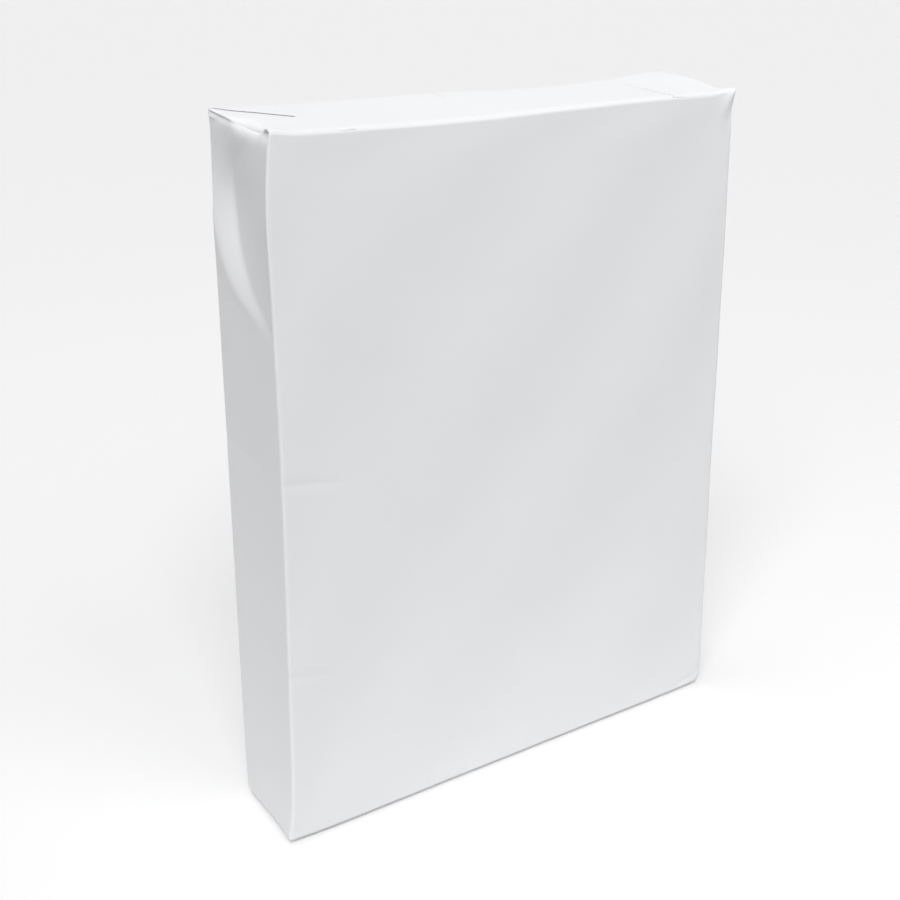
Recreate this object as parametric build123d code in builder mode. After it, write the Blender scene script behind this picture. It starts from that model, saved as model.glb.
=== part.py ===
from build123d import *
import os

# A sealed ream of letter paper: 500 sheets in one glued paper wrapper, standing on a short end.
# The pack can't be seen into, so the stack and its wrapper are one solid. All sizes are in millimetres.
# X runs across the sheets, Y runs through the stack and Z runs up the length of the sheets.
# The broad front panel faces -Y. The back panel, with the glued lap of the wrapper, faces +Y.
# The origin is on the standing face, in the middle of the pack's width and thickness.

# The stack of sheets
sheet_width = 215.9
sheet_length = 279.4
sheet_count = 500
sheet_caliper = 0.092

# The wrapper
wrap_thickness = 0.13
long_edge_radius = 1.5  # where the broad panels turn on to the long sides
end_edge_radius = 1.1  # where the panels turn on to the folded ends
flap_length = 34.0  # how far a broad panel's flap reaches over an end
lap_width = 25.0  # the glued lap up the back panel

# Layers of wrapper on each end of the stack. The side tucks are pushed in first and lie lowest.
# The back panel's flap folds over them, and the front panel's flap folds over that.
tuck_layers = 1
back_flap_layers = 3
front_flap_layers = 5

stack_thickness = sheet_count * sheet_caliper
pack_width = sheet_width + 2 * wrap_thickness
pack_thickness = stack_thickness + 2 * wrap_thickness
pack_height = sheet_length + 2 * front_flap_layers * wrap_thickness

# The lap stands on the back panel alone, so the stack lies half a layer towards the front.
middle_y = -wrap_thickness / 2
back_panel_y = middle_y + pack_thickness / 2
stack_foot = front_flap_layers * wrap_thickness


def layered_block(layers):
    # The pack with the same number of wrapper layers all over each end
    with BuildPart() as block:
        with BuildSketch(Plane.XY.offset(stack_foot - layers * wrap_thickness)):
            with Locations((0, middle_y)):
                RectangleRounded(pack_width, pack_thickness, long_edge_radius)
        extrude(amount=sheet_length + 2 * layers * wrap_thickness)
        fillet(block.faces().filter_by(Axis.Z).edges(), radius=end_edge_radius)
    return block.part


def flapped_block(layers, side):
    # The part of a layered block that lies between one panel's two flaps: front at side -1, back at +1.
    # A flap's ends are folded in at 45 degrees from the corners of the pack.
    root_y = middle_y + side * pack_thickness / 2
    tip_y = root_y - side * flap_length
    root_x = pack_width / 2
    tip_x = root_x - flap_length
    with BuildPart() as flapped:
        with BuildSketch(Plane.XY):
            with BuildLine():
                Polyline((-root_x, root_y), (root_x, root_y), (tip_x, tip_y), (-tip_x, tip_y), close=True)
            make_face()
        extrude(amount=pack_height)
        add(layered_block(layers), mode=Mode.INTERSECT)
    return flapped.part


with BuildPart() as wrapped_ream:
    add(layered_block(tuck_layers))
    add(flapped_block(back_flap_layers, 1))
    add(flapped_block(front_flap_layers, -1))
    # The lap runs up the back panel, between the round edges of the two ends.
    lap_foot = stack_foot - back_flap_layers * wrap_thickness + end_edge_radius
    lap_height = pack_height - 2 * lap_foot
    with BuildSketch(Plane.XY.offset(lap_foot)):
        with Locations((0, back_panel_y)):
            Rectangle(lap_width, wrap_thickness, align=(Align.CENTER, Align.MIN))
    extrude(amount=lap_height)

wrapped_ream.part.label = "wrapped_ream"

os.makedirs("parts", exist_ok=True)
export_step(wrapped_ream.part, "parts/wrapped_ream.step")
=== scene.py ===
import math

import bpy
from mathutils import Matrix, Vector, noise


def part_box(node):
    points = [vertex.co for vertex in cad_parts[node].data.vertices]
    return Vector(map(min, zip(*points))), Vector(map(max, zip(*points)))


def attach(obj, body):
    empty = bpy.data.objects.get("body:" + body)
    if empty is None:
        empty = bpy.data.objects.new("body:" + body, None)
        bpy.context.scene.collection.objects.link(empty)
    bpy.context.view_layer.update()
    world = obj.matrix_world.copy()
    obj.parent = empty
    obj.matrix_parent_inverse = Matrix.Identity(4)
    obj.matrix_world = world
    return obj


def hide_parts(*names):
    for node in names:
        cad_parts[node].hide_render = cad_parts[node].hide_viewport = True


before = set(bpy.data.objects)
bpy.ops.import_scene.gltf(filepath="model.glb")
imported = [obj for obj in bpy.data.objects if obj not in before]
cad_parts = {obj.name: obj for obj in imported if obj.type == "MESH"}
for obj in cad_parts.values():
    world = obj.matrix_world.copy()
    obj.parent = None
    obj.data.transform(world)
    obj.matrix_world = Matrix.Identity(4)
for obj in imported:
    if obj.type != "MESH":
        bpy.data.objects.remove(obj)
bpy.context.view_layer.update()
mm = 0.001
packLow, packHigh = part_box("wrapped_ream")
print("frame loaded, pack is", [round(side / mm, 2) for side in packHigh - packLow], "mm")


def smooth(low, high, value):
    # 0 below low, 1 above high, and an S-curve between them
    share = min(max((value - low) / (high - low), 0.0), 1.0)
    return share * share * (3 - 2 * share)


def along(points, value):
    # a flowing curve through given (position, height) points in mm, level outside them
    value = min(max(value / mm, points[0][0]), points[-1][0])
    last = len(points) - 1
    for i in range(last):
        (startAt, startHigh), (endAt, endHigh) = points[i], points[i + 1]
        if value > endAt and i < last - 1:
            continue
        before, after = points[max(i - 1, 0)], points[min(i + 2, last)]
        leave = (endHigh - before[1]) / (endAt - before[0])
        arrive = (after[1] - startHigh) / (after[0] - startAt)
        span, t = endAt - startAt, (value - startAt) / (endAt - startAt)
        high = (1 + 2 * t) * (1 - t) ** 2 * startHigh + t * (1 - t) ** 2 * span * leave
        high += t * t * (3 - 2 * t) * endHigh - t * t * (1 - t) * span * arrive
        return high * mm


# The wrapper: one sheet of coated paper, folded round the stack as a parcel is
wrapper = {
    "ply": 0.13 * mm,  # thickness of the paper
    "edgeRound": 1.3 * mm,  # outer radius where it turns a corner
    "roll": 5.0 * mm,  # extra radius of the soft part of the top end's left edge
    "flapReach": 34.0 * mm,  # how far the ends fold over the stack
    "lapWidth": 25.0 * mm,  # glued lap up the back
    "lapLift": 0.5 * mm,  # how far the lap's free edge stands up
    "lapClimb": 1.2,  # plies that the outer layer of the lap climbs
    "lapFlatEnds": 25 * mm,  # the lap lies flat within this of each end
    "lapWave": 38 * mm,  # length of the unevenness of its free edge
    "flapLift": 0.3 * mm,  # and the free edge of the top flap
    "flapLoose": 8 * mm,  # width of the strip that stands up there
    "rampLength": 2.5 * mm,  # where a flap climbs from the fold on to the layers under it
    # mesh lines by a fold, and by the free edge of the lap
    "closeSteps": [0.4 * mm, 0.8 * mm, 1.2 * mm, 1.7 * mm, 2.4 * mm, 3.4 * mm, 4.8 * mm],
    "lapSteps": [0.0, 1.5 * mm, 3 * mm, 5 * mm],
    "flapStep": 2.3 * mm,
    "columnStep": {"front": 3.3 * mm, "left": 1.3 * mm, "right": 2.3 * mm, "back": 4.4 * mm},
    # (up to this height, step): closer where there are creases to show
    "rowStops": [(66, 3.1), (78, 1.2), (143, 3.2), (157, 1.2), (205, 3.1)],
    "topRowStep": 1.7 * mm,
    # plies between the stack's end and each layer of the folded end
    "tuck": 0.0,
    "gusset": {"back": 0.0, "front": 2.0},
    "flap": {"back": 2.0, "front": 4.0},
}
ply = wrapper["ply"]
halfWidth = (packHigh.x - packLow.x) / 2
panelY = {"front": packLow.y, "back": packHigh.y - ply}
sideX = {"left": -halfWidth, "right": halfWidth}
halfDepth = (panelY["back"] - panelY["front"]) / 2
middleY = (panelY["back"] + panelY["front"]) / 2
footZ = packLow.z + wrapper["flap"]["front"] * ply
topZ = packHigh.z - wrapper["flap"]["front"] * ply
outwardY = {"front": -1, "back": 1}


def evenly(start, end, step):
    # lines between start and end, both left out
    count = max(1, math.ceil(abs(end - start) / step))
    return [start + (end - start) * i / count for i in range(1, count)]


def foldOffsets():
    offsets = [0.0] + wrapper["closeSteps"]
    offsets += evenly(offsets[-1], wrapper["flapReach"], wrapper["flapStep"])
    return offsets + [wrapper["flapReach"]]


def linesBetween(start, end, offsetsAtStart, offsetsAtEnd, step, stops=()):
    # mesh lines across a panel, close together by its folds
    way = 1 if end > start else -1
    lines = [start + way * offset for offset in offsetsAtStart]
    last = [end - way * offset for offset in reversed(offsetsAtEnd)]
    for stopAt, stopStep in stops:
        lines += evenly(lines[-1], stopAt * mm, stopStep * mm) + [stopAt * mm]
    return lines + evenly(lines[-1], last[0], step) + last


def sheetColumns():
    # the upright mesh lines in order round the stack, from the inner edge of the lap to its outer edge
    wide = foldOffsets()
    close = [0.0] + wrapper["closeSteps"]
    steps = wrapper["columnStep"]
    lapEdge = wrapper["lapWidth"] / 2
    columns = []

    def add(panel, lines, outer=False):
        for line in lines:
            x = sideX.get(panel, line)
            y = line if panel in sideX else panelY[panel]
            columns.append({"panel": panel, "x": x, "y": y, "outer": outer, "inset": halfWidth - abs(x)})

    backY, frontY = panelY["back"], panelY["front"]
    add("back", linesBetween(lapEdge, -halfWidth, [0.0], wide, steps["back"]))
    add("left", linesBetween(backY, frontY, close, close, steps["left"])[1:-1])
    add("front", linesBetween(-halfWidth, halfWidth, wide, wide, steps["front"]))
    add("right", linesBetween(frontY, backY, close, close, steps["right"])[1:-1])
    add("back", linesBetween(halfWidth, -lapEdge, wide, wrapper["lapSteps"], steps["back"]), outer=True)
    return columns


def sheetRows():
    # the level mesh lines from the tip of the bottom flaps to the tip of the top flaps
    reaches = foldOffsets()[1:]
    close = [0.0] + wrapper["closeSteps"]
    rows = [{"end": -1, "reach": reach, "z": footZ} for reach in reversed(reaches)]
    upright = linesBetween(footZ, topZ, close, close, wrapper["topRowStep"], wrapper["rowStops"])
    rows += [{"end": 0, "reach": 0.0, "z": z} for z in upright]
    rows += [{"end": 1, "reach": reach, "z": topZ} for reach in reaches]
    return rows


def lapPlies(column, row):
    # the outer layer of the lap climbs on to the inner one, and its edge stands up a little down the back
    if not column["outer"]:
        return 0.0
    edge = wrapper["lapWidth"] / 2
    loose = smooth(0, wrapper["lapFlatEnds"], min(row["z"] - footZ, topZ - row["z"]))
    loose *= 0.6 + 0.9 * noise.noise(Vector((0.7, 0.2, row["z"] / wrapper["lapWave"])))
    lift = wrapper["lapLift"] / ply * loose * smooth(6 * mm - edge, -edge, column["x"])
    climbed = wrapper["lapClimb"] * smooth(edge + 5 * mm, edge + 0.5 * mm, column["x"])
    return climbed + max(0.0, lift)


def foldedPlace(column, row):
    # where a point of the flat sheet goes: its place on a sharp-cornered block, the way out
    # and the plies under it
    x, y, panel = column["x"], column["y"], column["panel"]
    if row["end"] == 0:
        if panel in ("left", "right"):
            return Vector((x, y, row["z"])), Vector((math.copysign(1, x), 0, 0)), 0.0
        return Vector((x, y, row["z"])), Vector((0, outwardY[panel], 0)), lapPlies(column, row)
    out = Vector((0, 0, row["end"]))
    reach = row["reach"]
    tuckX = math.copysign(halfWidth - reach, x)
    if panel in ("left", "right"):
        return Vector((tuckX, y, row["z"])), out, wrapper["tuck"]
    if reach <= column["inset"] + 1e-7:
        plies = wrapper["flap"][panel] * smooth(0, wrapper["rampLength"], reach) + lapPlies(column, row)
        return Vector((x, y - outwardY[panel] * reach, row["z"])), out, plies
    # the corner of a flap turns back under it, along a fold at 45 degrees
    plies = wrapper["gusset"][panel] * smooth(0, wrapper["rampLength"], column["inset"])
    return Vector((tuckX, y - outwardY[panel] * column["inset"], row["z"])), out, plies


def rounded(place, plies):
    # the left of the top end rolls over softly between its corners
    soft = along([(-17, 0), (-11, 0.8), (-3, 1), (3, 0.9), (9, 0)], place.y) / mm
    high = smooth(0.5, 0.7, place.z / topZ) if place.x < 0 else 0.0
    radius = wrapper["edgeRound"] + wrapper["roll"] * soft * high
    core = Vector((
        min(max(place.x, radius - halfWidth), halfWidth - radius),
        min(max(place.y, panelY["front"] + radius), panelY["back"] - radius),
        min(max(place.z, footZ + radius), topZ - radius),
    ))
    return core + (place - core).normalized() * (radius + plies * ply)


# How the pack has settled: its corners, edges and slack
settled = {
    "thickerAtTop": 0.4 * mm,  # each broad panel, outwards
    "thinnerAtFoot": 1.1 * mm,  # each broad panel, inwards
    "footLift": 1.2 * mm,  # the edges of the foot, off the floor
    "footLiftFades": 9 * mm,  # in from the edge
    "footLiftHeight": 20 * mm,  # and up the panels
    "sagFades": 18 * mm,  # down from the top
    "topTilt": 1.5 * mm,  # the back of the top end up, the front of it down
    "footSpread": 1.5 * mm,  # the foot of the front panel, to each side
    "sags": [
        {"panel": "front", "at": -35 * mm, "span": 75 * mm, "drop": 1.5 * mm},
        {"panel": "back", "at": 45 * mm, "span": 60 * mm, "drop": 1.2 * mm},
    ],
    # corners pulled out into ears or drawn in: (left to right, front to back, foot to top), move in mm, reach
    "ears": [
        {"at": (-1, -0.85, 1), "pull": (-0.2, 0.0, 1.5), "reach": 5.0 * mm},
        {"at": (-1, -1, 1), "pull": (0.5, 0.3, 0.4), "reach": 9.0 * mm},
        {"at": (1, -1, 1), "pull": (1.4, -0.7, 2.4), "reach": 3.6 * mm},
        {"at": (1, -1, 1), "pull": (-0.6, 0.2, -1.0), "reach": 24.0 * mm},
        {"at": (1, 0.1, 1), "pull": (0.2, 0.0, 1.5), "reach": 16.0 * mm},
        {"at": (1, 1, 1), "pull": (0.2, 0.4, 1.9), "reach": 24.0 * mm},
        {"at": (-1, 1, 1), "pull": (-0.6, 0.3, 0.6), "reach": 4.0 * mm},
        {"at": (-1, 1, 1), "pull": (0.9, -0.2, 0.0), "reach": 30.0 * mm},
        {"at": (1, -1, -1), "pull": (-0.9, 0.6, 0.0), "reach": 4.0 * mm},
        {"at": (-1, -1, -1), "pull": (-1.6, 0.8, 0.0), "reach": 10.0 * mm},
        {"at": (1, 1, -1), "pull": (0.9, 0.6, 0.3), "reach": 5.0 * mm},
        {"at": (-1, 1, -1), "pull": (0.2, -0.2, 0.0), "reach": 8.0 * mm},
    ],
    "ripple": 0.22 * mm,  # gentle waviness everywhere
    "rippleSize": 42 * mm,
    "rippleSeed": Vector((3.1, 7.7, 1.9)),
    "fineRipple": 0.06 * mm,
    "fineRippleSize": 11 * mm,
    "fineRippleSeed": Vector((9.2, 0.4, 5.5)),
    "rippleStill": 12 * mm,  # no up-and-down ripple at the foot, full above this
    "rippleDraw": 1,  # keeps the ripple the same in every run, and can't be 0, which means the clock
    # the left edge of the top end is pushed in: (distance from the front, how far) in mm
    "pinch": [(0, 0), (4, 1.0), (12, 2.2), (24, 1.5), (38, 0.4), (46, 0)],
    "pinchFades": 9 * mm,
    "pinchDrop": 0.4,  # how far it goes down, as a share of how far in
    # the upright edge on the left of the front stands out: (below the top, how far) in mm
    "looseEdge": [(0, 0.2), (9, 1.1), (26, 2.0), (43, 1.8), (61, 1.2), (95, 0.3), (118, 0)],
    "looseBack": 26 * mm,  # it fades back along the left panel
    "looseAcross": 24 * mm,  # and across the front
}
noise.seed_set(settled["rippleDraw"])


def settle(place, point):
    # moves a folded point by where it lies on the block
    across = place.x / halfWidth
    through = (place.y - middleY) / halfDepth
    up = (place.z - footZ) / (topZ - footZ)
    move = Vector((0, 0, 0))
    spread = settled["thickerAtTop"] + settled["thinnerAtFoot"]
    move.y += through * (spread * up - settled["thinnerAtFoot"])
    move.z += up ** 3 * through * settled["topTilt"]
    move.x += across * settled["footSpread"] * (1 - up) ** 2 * (1 - through) / 2
    inFromEdge = min(halfWidth - abs(place.x), halfDepth - abs(place.y - middleY))
    aboveFoot = place.z - footZ
    footEdge = math.exp(-inFromEdge / settled["footLiftFades"])
    move.z += settled["footLift"] * footEdge * smooth(settled["footLiftHeight"], 0, aboveFoot)
    nearTop = math.exp((place.z - topZ) / settled["sagFades"])
    for sag in settled["sags"]:
        share = (1 + outwardY[sag["panel"]] * through) / 2
        move.z -= sag["drop"] * share * nearTop * math.exp(-(((place.x - sag["at"]) / sag["span"]) ** 2))
    for ear in settled["ears"]:
        side, depth, end = ear["at"]
        tip = Vector((side * halfWidth, middleY + depth * halfDepth, topZ if end > 0 else footZ))
        pull = math.exp(-(((place - tip).length / ear["reach"]) ** 1.4))
        move += Vector(ear["pull"]) * mm * pull
    # the upright edge on the left of the front is not tight against the stack near its top
    fromFront, fromLeft = place.y - panelY["front"], place.x + halfWidth
    slackBack = max(0.0, 1 - fromFront / settled["looseBack"]) ** 1.4
    slack = slackBack * max(0.0, 1 - fromLeft / settled["looseAcross"]) ** 2
    move.x -= along(settled["looseEdge"], topZ - place.z) * slack
    # the left edge of the top end is pressed in and down
    fromEdge = math.hypot(topZ - place.z, fromLeft)
    pinch = along(settled["pinch"], fromFront) * math.exp(-fromEdge / settled["pinchFades"])
    move += Vector((pinch, 0, -settled["pinchDrop"] * pinch))
    wave = noise.noise_vector(place / settled["rippleSize"] + settled["rippleSeed"]) * settled["ripple"]
    fine = noise.noise_vector(place / settled["fineRippleSize"] + settled["fineRippleSeed"])
    wave += fine * settled["fineRipple"]
    wave.z *= smooth(0, settled["rippleStill"], aboveFoot)
    return point + move + wave


# Slack paper pressed in beside a corner: a valley runs down from the corner and back to the same edge.
# Every line is (distance from the corner along the edge, distance in from the edge or height) in mm.
dent = {
    "valley": [(0, 7), (6, 20), (13, 30), (22, 36), (33, 37), (48, 31), (60, 20), (70, 4), (76, 0.5)],
    "rim": [(0, 46), (18, 46), (30, 46), (42, 44), (54, 38), (62, 30), (70, 14), (76, 5)],
    "depth": [(0, 0), (5, 0.8), (12, 2.4), (26, 4.8), (38, 4.8), (50, 3.4), (62, 1.5), (74, 0)],
    "lip": [(0, 0), (24, 0), (42, 0.5), (58, 0.5), (74, 0)],
    "lipFades": 12 * mm,
    # the same dent at the two ends of the right panel, not as deep
    "rightFoot": 0.45,
    "rightTop": 0.5,
}


def dentPush(inward, fromCorner, strength):
    valley, rim = along(dent["valley"], fromCorner), along(dent["rim"], fromCorner)
    depth = along(dent["depth"], fromCorner) * strength
    lip = along(dent["lip"], fromCorner) * strength
    if inward < valley:
        return -depth * (inward / valley) ** 0.95
    if inward < rim:
        share = (inward - valley) / (rim - valley)
        return lip * share * share - depth * (1 - share) ** 1.2
    return lip * max(0.0, 1 - (inward - rim) / dent["lipFades"]) ** 2


# Long soft swells across the front panel, from the lower left to the upper right
swells = {
    "height": 0.3 * mm,
    "length": 75 * mm,
    "slope": math.radians(49.5),
    "start": -76 * mm,
    "drift": 12 * mm,  # how far they wander
    "driftSize": 110 * mm,
    "driftSeed": Vector((5.3, 2.2, 8.1)),
}


def frontPush(x, z):
    side = x * math.sin(swells["slope"]) - z * math.cos(swells["slope"])
    drift = swells["drift"] * noise.noise(Vector((x, 0, z)) / swells["driftSize"] + swells["driftSeed"])
    turns = (side + drift - swells["start"]) / swells["length"]
    return swells["height"] * math.sin(2 * math.pi * turns)


# Creases, each strongest where it starts. Ends in mm are (across, up) on the broad panels
# and (in from the front, below the top) on the left one.
creases = [
    {"panel": "front", "from": (-108, 153), "to": (-78, 148), "out": -0.32, "width": 1.3},
    {"panel": "front", "from": (-108, 74), "to": (-85, 70), "out": -0.28, "width": 1.2},
    {"panel": "front", "from": (109, 283), "to": (99, 267), "out": 0.55, "width": 1.5},
    {"panel": "front", "from": (110, 278), "to": (104, 262), "out": -0.5, "width": 2.0},
    {"panel": "front", "from": (105, 281), "to": (95, 277), "out": -0.3, "width": 2.2},
    {"panel": "front", "from": (109, 8.5), "to": (103, 4.2), "out": -0.8, "width": 1.1},
    {"panel": "front", "from": (103, 4.2), "to": (88, 2.2), "out": -0.5, "width": 0.9},
    {"panel": "left", "from": (0.5, 1.8), "to": (10, 2.0), "out": -2.6, "width": 1.3},
    {"panel": "left", "from": (45, 1.0), "to": (27, 1.6), "out": -1.2, "width": 0.8},
    {"panel": "left", "from": (46, 4.4), "to": (37, 2.0), "out": -0.6, "width": 0.8},
    {"panel": "left", "from": (46, 122), "to": (6, 127), "out": -0.25, "width": 1.8},
    {"panel": "left", "from": (0, 206), "to": (30, 199), "out": -0.2, "width": 1.6},
    {"panel": "back", "from": (108, 262), "to": (80, 240), "out": -0.4, "width": 1.8},
    {"panel": "back", "from": (-108, 118), "to": (-76, 126), "out": -0.3, "width": 1.5},
    {"panel": "back", "from": (108, 40), "to": (84, 22), "out": -0.35, "width": 1.6},
]


def creasePush(panel, across, up):
    push = 0.0
    for crease in creases:
        if crease["panel"] != panel:
            continue
        (startX, startZ), (endX, endZ) = crease["from"], crease["to"]
        runX, runZ = endX - startX, endZ - startZ
        share = ((across / mm - startX) * runX + (up / mm - startZ) * runZ) / (runX ** 2 + runZ ** 2)
        held = min(max(share, 0.0), 1.0)
        away = math.hypot(across / mm - startX - held * runX, up / mm - startZ - held * runZ)
        profile = math.exp(-((away / crease["width"]) ** 2))
        push += crease["out"] * mm * profile * (1 - smooth(0.35, 1.1, held))
    return push


def pushOut(panel, place):
    # how far a point of a panel stands out
    fromSide = halfWidth - abs(place.x)
    fromEnd = min(place.z - footZ, topZ - place.z)
    fromBroad = halfDepth - abs(place.y - middleY)
    belowTop, aboveFoot = topZ - place.z, place.z - footZ
    if panel == "front":
        push = frontPush(place.x, place.z) * smooth(0, 14 * mm, min(fromSide, fromEnd))
        return push + creasePush(panel, place.x, place.z) * smooth(0, 0.9 * mm, min(fromSide, fromEnd))
    if panel == "left":
        inward = place.y - panelY["front"]
        push = dentPush(inward, belowTop, 1.0) * smooth(0, 1 * mm, fromBroad)
        return push + creasePush(panel, inward, belowTop) * smooth(0, 0.7 * mm, min(fromBroad, fromEnd))
    if panel == "right":
        inward = panelY["back"] - place.y
        push = dentPush(inward, aboveFoot, dent["rightFoot"]) + dentPush(inward, belowTop, dent["rightTop"])
        return push * smooth(0, 3 * mm, fromBroad)
    push = 0.5 * frontPush(-place.x, place.z) + 0.4 * mm * noise.noise(place / (60 * mm))
    return (push + creasePush(panel, place.x, place.z)) * smooth(0, 6 * mm, min(fromSide, fromEnd))


def makeWrapper():
    columns, rows = sheetColumns(), sheetRows()
    wide, tall = len(columns) - 1, len(rows) - 1
    bpy.ops.object.select_all(action="DESELECT")
    bpy.ops.mesh.primitive_grid_add(x_subdivisions=wide, y_subdivisions=tall, size=1)
    sheet = bpy.context.active_object
    sheet.name = "foldedWrapper"
    sheet.data.name = "foldedWrapper"
    places = [(round((v.co.x + 0.5) * wide), round((v.co.y + 0.5) * tall)) for v in sheet.data.vertices]
    scoreCorners(sheet, [(columns[i], rows[j]) for i, j in places])
    for vertex, (i, j) in zip(sheet.data.vertices, places):
        place, out, plies = foldedPlace(columns[i], rows[j])
        point = rounded(place, plies)
        if rows[j]["end"] == 0:
            point += out * pushOut(columns[i]["panel"], place)
        if rows[j]["end"] == 1 and columns[i]["panel"] == "front":
            tip = wrapper["flapReach"]
            point.z += wrapper["flapLift"] * smooth(tip - wrapper["flapLoose"], tip, rows[j]["reach"])
        vertex.co = settle(place, point)
    print("wrapper folded from", len(places), "points")
    return sheet


def scoreCorners(sheet, lines):
    # splits the mesh along the 45 degree folds at the corners, while it is still flat
    bpy.ops.object.mode_set(mode="EDIT")
    bpy.ops.mesh.select_all(action="DESELECT")
    bpy.ops.mesh.select_mode(type="VERT")
    bpy.ops.object.mode_set(mode="OBJECT")
    for vertex, (column, row) in zip(sheet.data.vertices, lines):
        onBroad = column["panel"] in panelY
        onFold = onBroad and row["end"] != 0 and abs(column["inset"] - row["reach"]) < 1e-6
        atCorner = onBroad and row["end"] == 0 and column["inset"] < 1e-6 and row["z"] in (footZ, topZ)
        vertex.select = onFold or atCorner
    bpy.ops.object.mode_set(mode="EDIT")
    bpy.ops.mesh.vert_connect()
    bpy.ops.object.mode_set(mode="OBJECT")


def thicken(sheet):
    solid = sheet.modifiers.new("paperThickness", "SOLIDIFY")
    solid.thickness = ply
    solid.offset = -1
    bpy.ops.object.modifier_apply(modifier=solid.name)
    bpy.ops.object.shade_smooth_by_angle(angle=paper["smoothUpTo"])
    print("wrapper has", len(sheet.data.polygons), "faces")


# White wrapping paper, with a faint mottle and a fine fibre
paper = {
    "smoothUpTo": math.radians(38),  # sharper folds than this stay sharp
    "white": (0.83, 0.835, 0.85, 1),
    "mottle": (0.80, 0.805, 0.82, 1),
    "mottleScale": 22,
    "mottleDetail": 4,
    "roughness": 0.5,
    "specular": 0.4,
    "fibreScale": 700,
    "fibreDetail": 3,
    "fibreBump": 0.06,
    "fibreHeight": 0.1 * mm,
}


def paperMaterial():
    material = bpy.data.materials.new("whiteWrappingPaper")
    material.use_nodes = True
    nodes, links = material.node_tree.nodes, material.node_tree.links
    shader = nodes["Principled BSDF"]
    shader.inputs["Roughness"].default_value = paper["roughness"]
    shader.inputs["Specular IOR Level"].default_value = paper["specular"]
    place = nodes.new("ShaderNodeTexCoord")
    mottle = nodes.new("ShaderNodeTexNoise")
    mottle.inputs["Scale"].default_value = paper["mottleScale"]
    mottle.inputs["Detail"].default_value = paper["mottleDetail"]
    tint = nodes.new("ShaderNodeMix")
    tint.data_type = "RGBA"
    tint.inputs["A"].default_value = paper["white"]
    tint.inputs["B"].default_value = paper["mottle"]
    fibre = nodes.new("ShaderNodeTexNoise")
    fibre.inputs["Scale"].default_value = paper["fibreScale"]
    fibre.inputs["Detail"].default_value = paper["fibreDetail"]
    bump = nodes.new("ShaderNodeBump")
    bump.inputs["Strength"].default_value = paper["fibreBump"]
    bump.inputs["Distance"].default_value = paper["fibreHeight"]
    links.new(place.outputs["Object"], mottle.inputs["Vector"])
    links.new(place.outputs["Object"], fibre.inputs["Vector"])
    links.new(mottle.outputs["Fac"], tint.inputs["Factor"])
    links.new(tint.outputs["Result"], shader.inputs["Base Color"])
    links.new(fibre.outputs["Fac"], bump.inputs["Height"])
    links.new(bump.outputs["Normal"], shader.inputs["Normal"])
    return material


foldedWrapper = makeWrapper()
thicken(foldedWrapper)
foldedWrapper.data.materials.append(paperMaterial())
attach(foldedWrapper, "root")
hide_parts("wrapped_ream")

# The studio: a white floor and sky, three broad suns, a softbox at the front, and the camera
studio = {
    "floorSize": 40,
    "floorSeen": (1.0, 1.0, 1.0, 1),  # the floor as the camera sees it
    "floorNear": (0.8, 0.8, 0.8, 1),  # what the floor throws back close to the pack
    "floorFar": (0.25, 0.25, 0.25, 1),
    "floorFades": (0.05, 0.7),  # metres from the pack
    "sky": 0.28,  # strength of the light from the sky
    "white": (1, 1, 1, 1),
    "backdrop": 1,  # strength of the sky as the camera sees it
    "suns": [
        {"name": "overheadSun", "strength": 0.6, "angle": 50, "turn": (-25, -8, 0)},
        {"name": "keySun", "strength": 1.85, "angle": 40, "turn": (48, 0, -38)},
        {"name": "sideSun", "strength": 0.17, "angle": 60, "turn": (66, 0, -70)},
    ],
    "softbox": {"power": 1.0, "size": 0.35, "place": (0.06, -0.42, 0.7), "aim": (0, 0, 0.22)},
}


def seenBy(nodes, links):
    # 1 for what the camera sees, straight or in a reflection
    path = nodes.new("ShaderNodeLightPath")
    either = nodes.new("ShaderNodeMath")
    either.operation = "MAXIMUM"
    both = nodes.new("ShaderNodeMath")
    both.operation = "MAXIMUM"
    links.new(path.outputs["Is Camera Ray"], either.inputs[0])
    links.new(path.outputs["Is Glossy Ray"], either.inputs[1])
    links.new(either.outputs["Value"], both.inputs[0])
    links.new(path.outputs["Is Transmission Ray"], both.inputs[1])
    return both.outputs["Value"]


def makeFloor():
    bpy.ops.object.select_all(action="DESELECT")
    bpy.ops.mesh.primitive_plane_add(size=studio["floorSize"])
    floor = bpy.context.active_object
    floor.name = "studioFloor"
    material = bpy.data.materials.new("whiteFloor")
    material.use_nodes = True
    nodes, links = material.node_tree.nodes, material.node_tree.links
    nodes.clear()
    output = nodes.new("ShaderNodeOutputMaterial")
    paint = nodes.new("ShaderNodeBsdfDiffuse")
    place = nodes.new("ShaderNodeTexCoord")
    away = nodes.new("ShaderNodeVectorMath")
    away.operation = "LENGTH"
    fade = nodes.new("ShaderNodeMapRange")
    fadeStart, fadeEnd = studio["floorFades"]
    fade.inputs["From Min"].default_value = fadeStart
    fade.inputs["From Max"].default_value = fadeEnd
    bounce = nodes.new("ShaderNodeMix")
    bounce.data_type = "RGBA"
    bounce.inputs["A"].default_value = studio["floorNear"]
    bounce.inputs["B"].default_value = studio["floorFar"]
    tone = nodes.new("ShaderNodeMix")
    tone.data_type = "RGBA"
    tone.inputs["B"].default_value = studio["floorSeen"]
    links.new(place.outputs["Object"], away.inputs[0])
    links.new(away.outputs["Value"], fade.inputs["Value"])
    links.new(fade.outputs["Result"], bounce.inputs["Factor"])
    links.new(bounce.outputs["Result"], tone.inputs["A"])
    links.new(seenBy(nodes, links), tone.inputs["Factor"])
    links.new(tone.outputs["Result"], paint.inputs["Color"])
    links.new(paint.outputs["BSDF"], output.inputs["Surface"])
    floor.data.materials.append(material)


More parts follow.
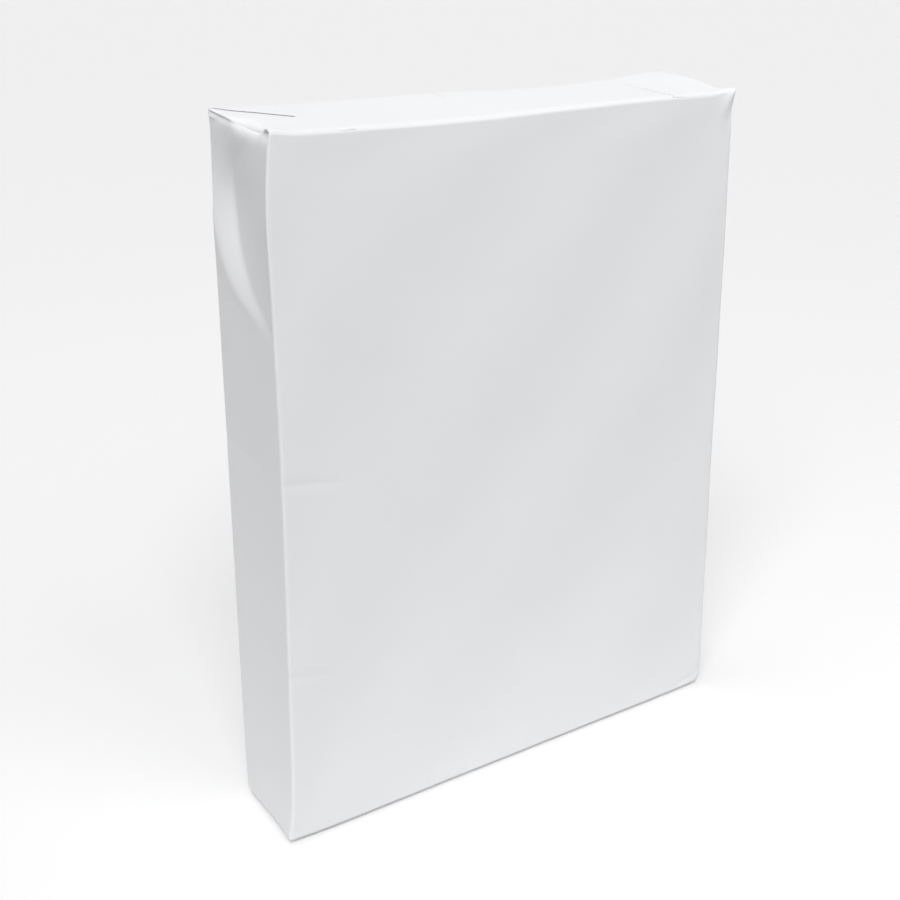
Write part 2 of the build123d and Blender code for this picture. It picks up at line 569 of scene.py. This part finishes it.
def makeSky():
    world = bpy.data.worlds.new("studioSky")
    bpy.context.scene.world = world
    world.use_nodes = True
    nodes, links = world.node_tree.nodes, world.node_tree.links
    nodes.clear()
    output = nodes.new("ShaderNodeOutputWorld")
    lighting = nodes.new("ShaderNodeBackground")
    lighting.inputs["Strength"].default_value = studio["sky"]
    lighting.inputs["Color"].default_value = studio["white"]
    backdrop = nodes.new("ShaderNodeBackground")
    backdrop.inputs["Strength"].default_value = studio["backdrop"]
    backdrop.inputs["Color"].default_value = studio["white"]
    choice = nodes.new("ShaderNodeMixShader")
    links.new(seenBy(nodes, links), choice.inputs["Fac"])
    links.new(lighting.outputs["Background"], choice.inputs[1])
    links.new(backdrop.outputs["Background"], choice.inputs[2])
    links.new(choice.outputs["Shader"], output.inputs["Surface"])


def makeLamps():
    for sun in studio["suns"]:
        bpy.ops.object.light_add(type="SUN", rotation=[math.radians(turn) for turn in sun["turn"]])
        lamp = bpy.context.active_object
        lamp.name = sun["name"]
        lamp.data.energy = sun["strength"]
        lamp.data.angle = math.radians(sun["angle"])
    box = studio["softbox"]
    bpy.ops.object.light_add(type="AREA", location=box["place"])
    lamp = bpy.context.active_object
    lamp.name = "frontSoftbox"
    lamp.data.energy = box["power"]
    lamp.data.size = box["size"]
    toPack = Vector(box["aim"]) - Vector(box["place"])
    lamp.rotation_euler = toPack.to_track_quat("-Z", "Y").to_euler()


camera = {
    "place": (-0.3240, -0.4455, 0.3439),
    "lookDown": 18.83,
    "turn": 35.08,
    "lens": 56.35,
    "shift": (-0.0186, -0.05),
    "sensor": 36,
    "nearest": 0.01,
}


def makeCamera():
    bpy.ops.object.camera_add(
        location=camera["place"],
        rotation=(math.radians(90 - camera["lookDown"]), 0, math.radians(-camera["turn"])),
    )
    lens = bpy.context.active_object
    lens.name = "studioCamera"
    lens.data.sensor_width = camera["sensor"]
    lens.data.lens = camera["lens"]
    lens.data.shift_x, lens.data.shift_y = camera["shift"]
    lens.data.clip_start = camera["nearest"]
    bpy.context.scene.camera = lens


makeFloor()
makeSky()
makeLamps()
makeCamera()
bpy.context.scene.view_settings.view_transform = "Standard"
print("studio ready")
